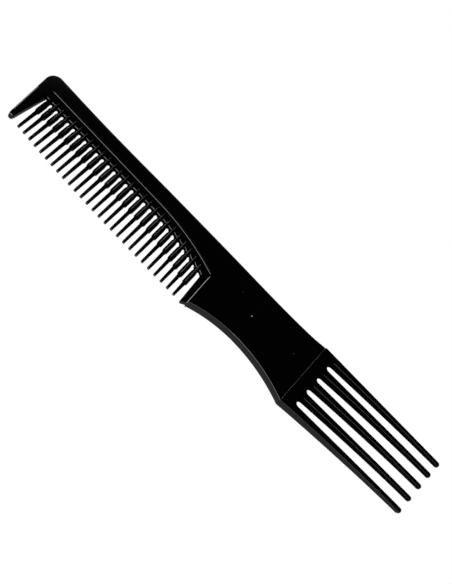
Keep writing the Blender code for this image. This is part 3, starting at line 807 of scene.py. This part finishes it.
def build_tooth(plan, x, lean):
    """Long tooth: ridges that run up the band, a neck, small shoulders and a fine tapered shaft."""
    teeth, head = plan.teeth, plan.head
    y = plan.root_y(x)
    ridged = head.band + 2 * teeth.rib_rise
    neck, width, flare = teeth.neck_width, teeth.width, teeth.root_flare
    shoulder = teeth.shoulder_drop + teeth.shoulder_slant * x
    # Each station: distance below the root, width, web and thickness.
    stations = [(-teeth.rib_length, neck, 0.0, head.band * RIB_END_SHARE),
                (-teeth.rib_length + teeth.rib_rise, neck, 0.0, ridged),
                (-head.root_chamfer * ROOT_LAP_SHARE, neck, flare, ridged)]
    for turn in spread(0.0, math.pi / 2, ARC_STEPS):
        down = teeth.root_web + flare * (1 - math.cos(turn))
        stations.append((down, neck, flare * (1 - math.sin(turn)), ridged))
    stations += [(teeth.neck_length, neck, 0.0, ridged),
                 (teeth.neck_length + teeth.neck_flare, width, 0.0, ridged),
                 (shoulder, width, 0.0, ridged),
                 (shoulder + teeth.shoulder_length, teeth.shaft_width, 0.0, teeth.shaft_thickness)]
    reach = y - plan.tooth_tip_y(x)
    for turn in spread(0.0, math.pi / 2, ARC_STEPS)[:-1]:
        down, narrowing = reach - teeth.tip_round * (1 - math.sin(turn)), math.cos(turn)
        stations.append((down, teeth.tip_width * narrowing, 0.0, teeth.tip_thickness * narrowing))
    rings = []
    for down, wide, web, thick in stations:
        rib = 1.0 if down < shoulder + WELD else teeth.shaft_rib
        rings.append(tooth_ring(teeth, x + math.tan(lean) * down, y - down, wide, web, thick, rib))
    return loft(rings)


def new_group(name, vectors, numbers, outputs):
    """Node group with named inputs and outputs, and its two end nodes."""
    group = bpy.data.node_groups.new(name, "ShaderNodeTree")
    for sockets, in_out, kind in ((vectors, "INPUT", "NodeSocketVector"),
                                  (numbers, "INPUT", "NodeSocketFloat"),
                                  (outputs, "OUTPUT", "NodeSocketFloat")):
        for socket in sockets:
            group.interface.new_socket(name=socket, in_out=in_out, socket_type=kind)
    return group, group.nodes.new("NodeGroupInput"), group.nodes.new("NodeGroupOutput")


def marks_group():
    """Node group for moulded plastic: unevenness, flow marks along the comb and hairline scratches."""
    group, entry, result = new_group("moulding_marks", ("Vector",), ("Polish", "Spread"),
                                     ("Roughness", "Height"))
    nodes, links = group.nodes, group.links

    def noise(size, detail, stretch):
        """Noise whose grain is drawn out along the comb."""
        turn = nodes.new("ShaderNodeMapping")
        turn.inputs["Scale"].default_value = stretch
        texture = nodes.new("ShaderNodeTexNoise")
        texture.inputs["Scale"].default_value = size
        texture.inputs["Detail"].default_value = detail
        links.new(entry.outputs["Vector"], turn.inputs["Vector"])
        links.new(turn.outputs["Vector"], texture.inputs["Vector"])
        return texture.outputs["Fac"]

    def calculate(operation, first, second):
        """Math node on two sockets or numbers."""
        node = nodes.new("ShaderNodeMath")
        node.operation = operation
        for socket, value in zip(node.inputs, (first, second)):
            if isinstance(value, float):
                socket.default_value = value
            else:
                links.new(value, socket)
        return node.outputs["Value"]

    uneven, flow = noise(*UNEVEN_NOISE), noise(*FLOW_NOISE)
    scratch = calculate("GREATER_THAN", noise(*SCRATCH_NOISE), SCRATCH_LIMIT)
    centred = calculate("SUBTRACT", calculate("ADD", uneven, flow), 1.0)
    spread = calculate("MULTIPLY", centred, entry.outputs["Spread"])
    rough = calculate("ADD", entry.outputs["Polish"], spread)
    rough = calculate("ADD", rough, calculate("MULTIPLY", scratch, SCRATCH_ROUGHNESS))
    height = calculate("SUBTRACT", flow, calculate("MULTIPLY", scratch, SCRATCH_DEPTH))
    links.new(calculate("MAXIMUM", rough, LEAST_ROUGHNESS), result.inputs["Roughness"])
    links.new(height, result.inputs["Height"])
    return group


def speck_group():
    """Node group that gives a small round mask about a place."""
    group, entry, result = new_group("speck", ("Vector", "Place"), ("Size",), ("Mask",))
    nodes, links = group.nodes, group.links
    away, near = nodes.new("ShaderNodeVectorMath"), nodes.new("ShaderNodeMath")
    away.operation, near.operation = "DISTANCE", "LESS_THAN"
    links.new(entry.outputs["Vector"], away.inputs[0])
    links.new(entry.outputs["Place"], away.inputs[1])
    links.new(away.outputs["Value"], near.inputs[0])
    links.new(entry.outputs["Size"], near.inputs[1])
    links.new(near.outputs["Value"], result.inputs["Mask"])
    return group


def plastic(look):
    """Polished black plastic with faint moulding marks, hairline scratches and three pale specks."""
    material = bpy.data.materials.new("black_plastic_gloss")
    material.use_nodes = True
    nodes, links = material.node_tree.nodes, material.node_tree.links
    shader = nodes["Principled BSDF"]
    shader.inputs["IOR"].default_value = REFRACTION
    coords = nodes.new("ShaderNodeTexCoord")
    marks = nodes.new("ShaderNodeGroup")
    marks.node_tree = marks_group()
    marks.inputs["Polish"].default_value = look.roughness
    marks.inputs["Spread"].default_value = look.roughness * ROUGHNESS_SPREAD
    links.new(coords.outputs["Object"], marks.inputs["Vector"])
    links.new(marks.outputs["Roughness"], shader.inputs["Roughness"])
    bump = nodes.new("ShaderNodeBump")
    bump.inputs["Strength"].default_value = look.unevenness
    bump.inputs["Distance"].default_value = MARK_HEIGHT
    links.new(marks.outputs["Height"], bump.inputs["Height"])
    links.new(bump.outputs["Normal"], shader.inputs["Normal"])
    speck, colour = speck_group(), None
    for place, size, shade in SPECKS:
        spot = nodes.new("ShaderNodeGroup")
        spot.node_tree = speck
        spot.inputs["Place"].default_value = Vector(place) * MM
        spot.inputs["Size"].default_value = size * MM
        links.new(coords.outputs["Object"], spot.inputs["Vector"])
        mix = nodes.new("ShaderNodeMix")
        mix.data_type = "RGBA"
        mix.inputs["A"].default_value = (*look.colour, 1.0)
        mix.inputs["B"].default_value = (shade, shade, shade, 1.0)
        links.new(spot.outputs["Mask"], mix.inputs["Factor"])
        if colour:
            links.new(colour, mix.inputs["A"])
        colour = mix.outputs["Result"]
    links.new(colour, shader.inputs["Base Color"])
    return material


def black_plastic():
    """The comb's material, made once."""
    found = bpy.data.materials.get("black_plastic_gloss")
    return found or plastic(bpy.context.scene.comb_look)


def camera_axes(plan, look):
    """Camera's place and its axes, in the frame of the CAD model."""
    target = Vector(CAMERA_TARGET) * MM + origin(plan) - Vector((0.0, 0.0, plan.head.thickness / 2))
    back = Vector(CAMERA_BACK).normalized()
    up = (Vector((0.0, 1.0, 0.0)) - back * back.y).normalized()
    right = up.cross(back)
    turned_right = right * math.cos(look.roll) + up * math.sin(look.roll)
    turned_up = up * math.cos(look.roll) - right * math.sin(look.roll)
    return target, back, turned_right, turned_up


def add_camera(plan, look):
    """Camera at the photograph's viewing angle."""
    target, back, right, up = camera_axes(plan, look)
    data = bpy.data.cameras.new("photo_camera")
    data.type = "PERSP"
    data.sensor_fit = "VERTICAL"
    data.sensor_height = SENSOR_HEIGHT
    data.lens = SENSOR_HEIGHT * FOCAL_PIXELS / PHOTO_HEIGHT
    camera = add_object("photo_camera", data)
    turn = Matrix((right, up, back)).transposed()
    camera.matrix_world = Matrix.Translation(target + back * look.distance) @ turn.to_4x4()
    bpy.context.scene.camera = camera


def add_area_light(name, azimuth, elevation, half_width, half_height, radiance):
    """Soft rectangular light that faces the comb.

    Its place and its half sizes are degrees as seen from the comb; the azimuth turns from the
    teeth's side towards the front end.
    """
    data = bpy.data.lights.new(name, "AREA")
    data.shape = "RECTANGLE"
    data.size = 2 * LIGHT_DISTANCE * math.tan(math.radians(half_width))
    data.size_y = 2 * LIGHT_DISTANCE * math.tan(math.radians(half_height))
    data.energy = radiance * math.pi * data.size * data.size_y
    light = add_object(name, data)
    turn, rise = math.radians(azimuth), math.radians(elevation)
    away = Vector((-math.sin(turn) * math.cos(rise), -math.cos(turn) * math.cos(rise), math.sin(rise)))
    light.location = away * LIGHT_DISTANCE
    light.rotation_mode = "QUATERNION"
    light.rotation_quaternion = away.to_track_quat("Z", "Y")


def white_to_camera(tree, output_type, others):
    """White glow for the camera, and another shader for every other ray."""
    path = tree.nodes.new("ShaderNodeLightPath")
    glow = tree.nodes.new("ShaderNodeEmission")
    mix = tree.nodes.new("ShaderNodeMixShader")
    output = tree.nodes.new(output_type)
    tree.links.new(path.outputs["Is Camera Ray"], mix.inputs["Fac"])
    tree.links.new(others.outputs[0], mix.inputs[1])
    tree.links.new(glow.outputs["Emission"], mix.inputs[2])
    tree.links.new(mix.outputs["Shader"], output.inputs["Surface"])


def add_stage(look):
    """Pale floor, dim room and soft lights."""
    bm = bmesh.new()
    bmesh.ops.create_grid(bm, x_segments=1, y_segments=1, size=FLOOR_SIZE)
    mesh = bpy.data.meshes.new("floor")
    bm.to_mesh(mesh)
    bm.free()
    floor = add_object("floor", mesh)
    floor.location.z = -FLOOR_DROP
    material = bpy.data.materials.new("pale_floor")
    material.use_nodes = True
    tree = material.node_tree
    tree.nodes.clear()
    paper = tree.nodes.new("ShaderNodeBsdfDiffuse")
    paper.inputs["Color"].default_value = (look.floor, look.floor, look.floor, 1.0)
    white_to_camera(tree, "ShaderNodeOutputMaterial", paper)
    mesh.materials.append(material)
    world = bpy.data.worlds.new("studio")
    world.use_nodes = True
    room = world.node_tree
    room.nodes.clear()
    dim = room.nodes.new("ShaderNodeBackground")
    dim.inputs["Strength"].default_value = look.room
    white_to_camera(room, "ShaderNodeOutputWorld", dim)
    bpy.context.scene.world = world
    bpy.context.scene.view_settings.view_transform = "Standard"
    for name, values in LIGHTS.items():
        add_area_light(name, *values)


class COMB_OT_spine(bpy.types.Operator):
    """Build the spine with its recessed band"""
    bl_idname = "comb.spine"
    bl_label = "Spine"

    def execute(self, context):
        add_piece(context.scene, ["spine"], build_spine)
        return {"FINISHED"}


class COMB_OT_guard_tooth(bpy.types.Operator):
    """Build the guard tooth at the front end"""
    bl_idname = "comb.guard_tooth"
    bl_label = "Guard tooth"

    def execute(self, context):
        add_piece(context.scene, ["guard_tooth"], build_guard_tooth)
        return {"FINISHED"}


class COMB_OT_teeth(bpy.types.Operator):
    """Build the row of fine teeth"""
    bl_idname = "comb.teeth"
    bl_label = "Teeth"

    def execute(self, context):
        plan = Plan(context.scene)
        places = plan.tooth_places()
        leans = spread(plan.teeth.first_lean, plan.teeth.last_lean, max(1, len(places) - 1))
        for index, (x, lean) in enumerate(zip(places, leans)):
            add_piece(context.scene, ["tooth_%02d" % (index + 1)], build_tooth, x, lean)
        return {"FINISHED"}


class COMB_OT_heel_tooth(bpy.types.Operator):
    """Build the thin tooth beside the handle"""
    bl_idname = "comb.heel_tooth"
    bl_label = "Heel tooth"

    def execute(self, context):
        add_piece(context.scene, ["heel_tooth"], build_heel_tooth)
        return {"FINISHED"}


class COMB_OT_handle(bpy.types.Operator):
    """Build the handle"""
    bl_idname = "comb.handle"
    bl_label = "Handle"

    def execute(self, context):
        add_piece(context.scene, ["handle"], build_handle)
        return {"FINISHED"}


class COMB_OT_fork(bpy.types.Operator):
    """Build the bridge of the fork and its prongs"""
    bl_idname = "comb.fork"
    bl_label = "Fork"

    def execute(self, context):
        add_piece(context.scene, ["fork_bridge"], build_bridge)
        for index in range(context.scene.comb_handle.prong_count):
            add_piece(context.scene, ["prong_%d" % (index + 1)], build_prong, index)
        return {"FINISHED"}


class COMB_OT_stage(bpy.types.Operator):
    """Set up the floor, the lights and the camera"""
    bl_idname = "comb.stage"
    bl_label = "Stage"

    def execute(self, context):
        plan = Plan(context.scene)
        add_stage(context.scene.comb_look)
        add_camera(plan, context.scene.comb_look)
        return {"FINISHED"}


OPERATORS = (COMB_OT_spine, COMB_OT_guard_tooth, COMB_OT_teeth, COMB_OT_heel_tooth, COMB_OT_handle,
             COMB_OT_fork, COMB_OT_stage)
GROUPS = (("comb_head", CombHead), ("comb_teeth", CombTeeth), ("comb_handle", CombHandle),
          ("comb_look", CombLook))


class COMB_PT_panel(bpy.types.Panel):
    """Buttons and settings of the comb"""
    bl_label = "Lift comb"
    bl_idname = "COMB_PT_panel"
    bl_space_type = "VIEW_3D"
    bl_region_type = "UI"
    bl_category = "Comb"

    def draw(self, context):
        for operator in OPERATORS:
            self.layout.operator(operator.bl_idname)
        for name, group in GROUPS:
            box = self.layout.box()
            for setting in group.__annotations__:
                box.prop(getattr(context.scene, name), setting)


CLASSES = tuple(group for _, group in GROUPS) + OPERATORS + (COMB_PT_panel,)


def register():
    """Register the classes and put the settings on the scene."""
    for item in CLASSES:
        bpy.utils.register_class(item)
    for name, group in GROUPS:
        setattr(bpy.types.Scene, name, PointerProperty(type=group))


def unregister():
    """Take the settings and the classes away again."""
    for name, _ in GROUPS:
        delattr(bpy.types.Scene, name)
    for item in reversed(CLASSES):
        bpy.utils.unregister_class(item)


def main():
    """Build the comb and its stage."""
    register()
    bpy.ops.comb.stage()
    bpy.ops.comb.spine()
    bpy.ops.comb.guard_tooth()
    bpy.ops.comb.teeth()
    bpy.ops.comb.heel_tooth()
    bpy.ops.comb.handle()
    bpy.ops.comb.fork()
    bpy.context.view_layer.update()


if __name__ == "__main__":
    main()
